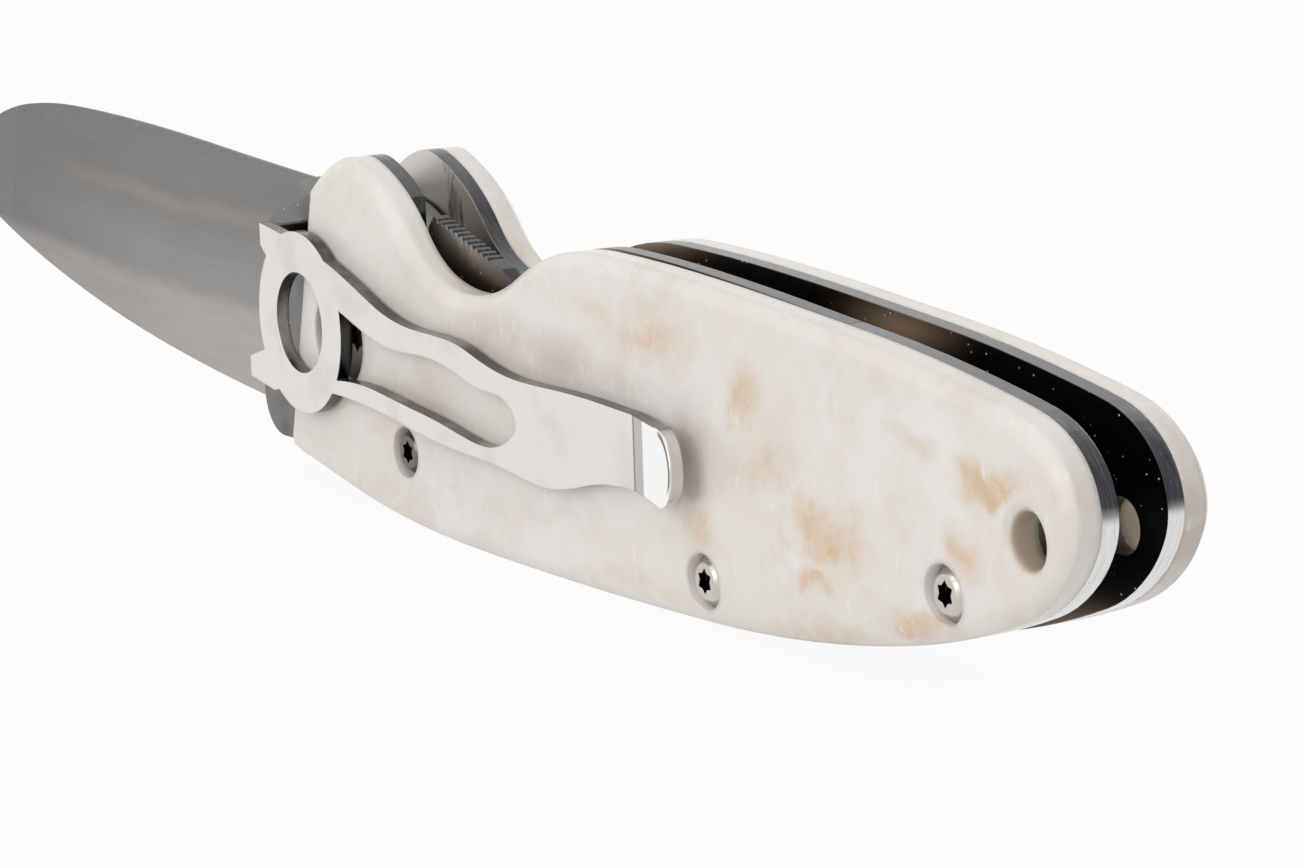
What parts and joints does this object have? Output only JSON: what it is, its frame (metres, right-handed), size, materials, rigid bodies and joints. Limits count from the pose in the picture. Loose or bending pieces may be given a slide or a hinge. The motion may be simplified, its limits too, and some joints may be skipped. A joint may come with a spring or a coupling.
{
  "type": "folding pocket knife",
  "caption": "Folding pocket knife, opened: drop-point blade on a pivot between steel liners, sprung lock leaf, marbled scales, open-ring pocket clip and lanyard hole.",
  "frame": {"origin": "middle of the underside of the opened knife, which stands on its back with the slot up", "axes": "+X from blade tip to butt, +Y from the clip side to the show side, +Z from the back to the slot and cutting edge"},
  "size_m": [0.18, 0.0132, 0.0267],
  "materials": {
    "blade_steel": "satin ground, laminated",
    "liner_steel": "polished",
    "marbled_scale": "polished cream with tan clouds",
    "hard_steel": "turned",
    "screw_steel": "polished dome",
    "washer_bronze": "flat",
    "clip_steel": "bead blasted, bright"
  },
  "bodies": {
    "handle": {"clip_side_liner": "liner_steel", "show_side_liner": "liner_steel", "clip_side_scale": "marbled_scale", "show_side_scale": "marbled_scale", "pivot_barrel": "hard_steel", "pivot_screw": "hard_steel", "clip_side_washer": "washer_bronze", "show_side_washer": "washer_bronze", "stop_pin": "hard_steel", "middle_pillar": "hard_steel", "rear_pillar": "hard_steel", "clip_side_screws": "screw_steel", "show_side_screws": "screw_steel", "pocket_clip": "clip_steel"},
    "blade": {"blade": "blade_steel"},
    "lock": {"lock_leaf": "liner_steel", "detent_ball": "hard_steel"}
  },
  "joints": [
    {"name": "blade_fold", "type": "hinge", "parent": "handle", "child": "blade", "pos_m": [-0.002, 0.00136, 0.01296], "axis": [0, 1, 0], "range_deg": [0, 174], "deforming": ["lock_leaf", "detent_ball"]},
    {"name": "lock_release", "type": "hinge", "parent": "handle", "child": "lock", "pos_m": [0.064, -0.00099, 0.01296], "axis": [0, 0, 1], "range_deg": [0, 1.15]}
  ],
  "couplings": [
    {"joint": "lock_release", "follows": "blade_fold", "ratio": 0.0066034}
  ]
}
